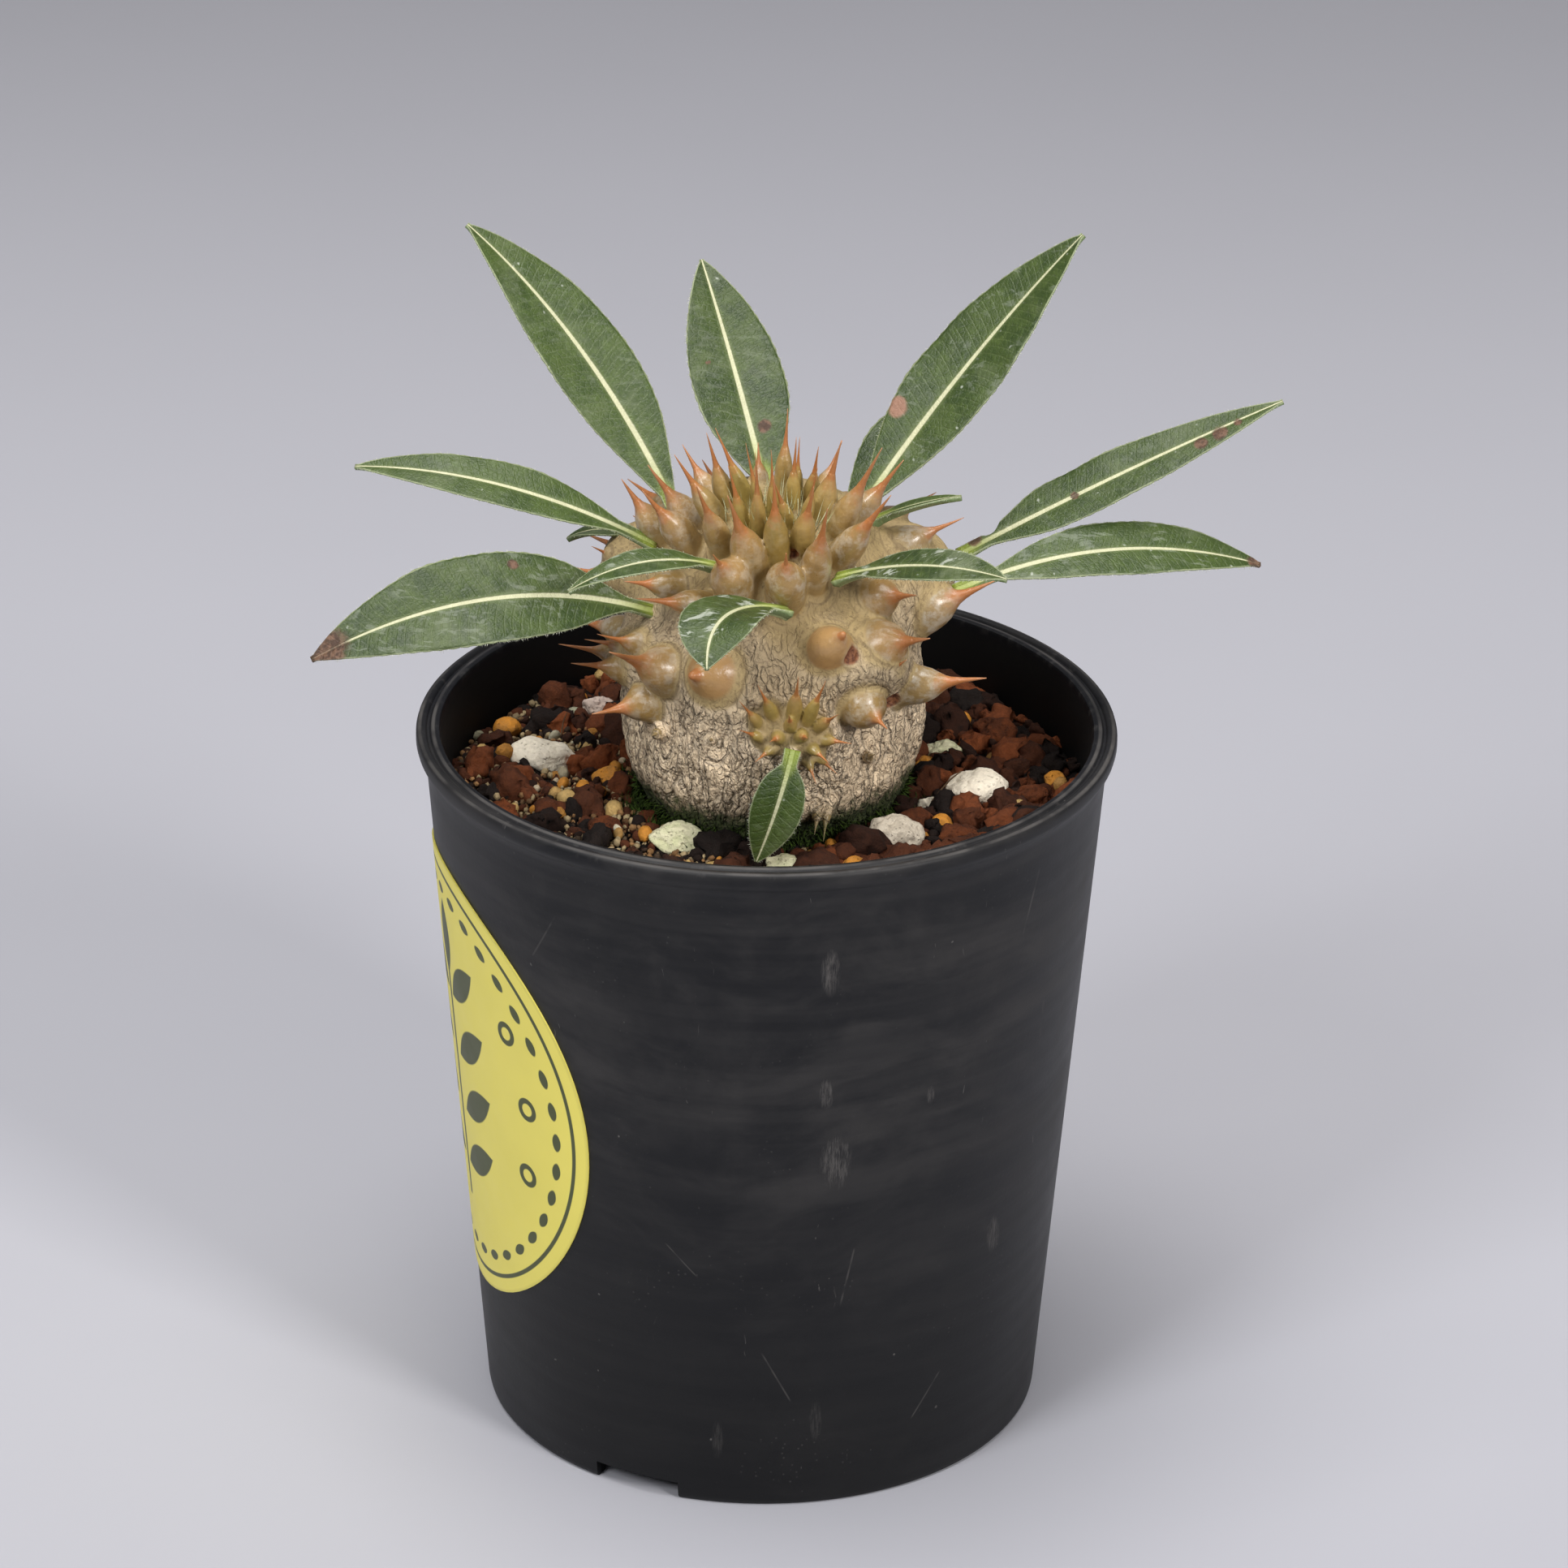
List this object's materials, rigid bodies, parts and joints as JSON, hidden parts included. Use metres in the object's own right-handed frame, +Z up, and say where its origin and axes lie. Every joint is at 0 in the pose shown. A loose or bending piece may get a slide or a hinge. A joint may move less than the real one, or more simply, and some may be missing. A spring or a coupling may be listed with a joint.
{
  "type": "potted succulent",
  "caption": "Potted pachypodium: a squat thorny caudex with long dark green leaves, in grit with pale stones, in a round black plastic nursery pot with a round yellow label.",
  "frame": {"origin": "on the floor under the middle of the whole plant's box; the pot's own axis stands 3.8 mm from it, at X = -3.8 mm, Y = 0", "axes": "+Z up along the pot's axis; +X to the viewer's right and +Y away from the viewer, as the picture shows the plant"},
  "size_m": [0.1089, 0.08, 0.1381],
  "materials": {
    "nursery_plastic": "matt",
    "label_vinyl": "satin",
    "potting_grit": "rough",
    "bark": "rough",
    "leaf_blade": "satin",
    "pale_stone": "rough",
    "red_stone": "rough",
    "orange_stone": "rough"
  },
  "bodies": {
    "root": {"pot": "nursery_plastic", "label": "label_vinyl", "soil": "potting_grit", "caudex": "bark", "leaf_up_left": "leaf_blade", "leaf_up_middle": "leaf_blade", "leaf_up_right": "leaf_blade", "leaf_up_right_rear": "leaf_blade", "leaf_left_high": "leaf_blade", "leaf_left_high_rear": "leaf_blade", "leaf_left_low": "leaf_blade", "leaf_left_short": "leaf_blade", "leaf_front_bent": "leaf_blade", "leaf_right_short": "leaf_blade", "leaf_right_high": "leaf_blade", "leaf_right_low": "leaf_blade", "leaf_right_tiny": "leaf_blade", "leaf_sprout": "leaf_blade", "stone_pale_1": "pale_stone", "stone_pale_2": "pale_stone", "stone_pale_3": "pale_stone", "stone_pale_4": "pale_stone", "stone_pale_5": "pale_stone", "stone_pale_6": "pale_stone", "stone_pale_7": "pale_stone", "stone_pale_8": "pale_stone", "stone_red_1": "red_stone", "stone_red_2": "red_stone", "stone_red_3": "red_stone", "stone_red_4": "red_stone", "stone_red_5": "red_stone", "stone_orange_1": "orange_stone", "stone_orange_2": "orange_stone", "stone_orange_3": "orange_stone", "stone_orange_4": "orange_stone", "stone_orange_5": "orange_stone", "stone_orange_6": "orange_stone", "stone_orange_7": "orange_stone"}
  },
  "joints": []
}
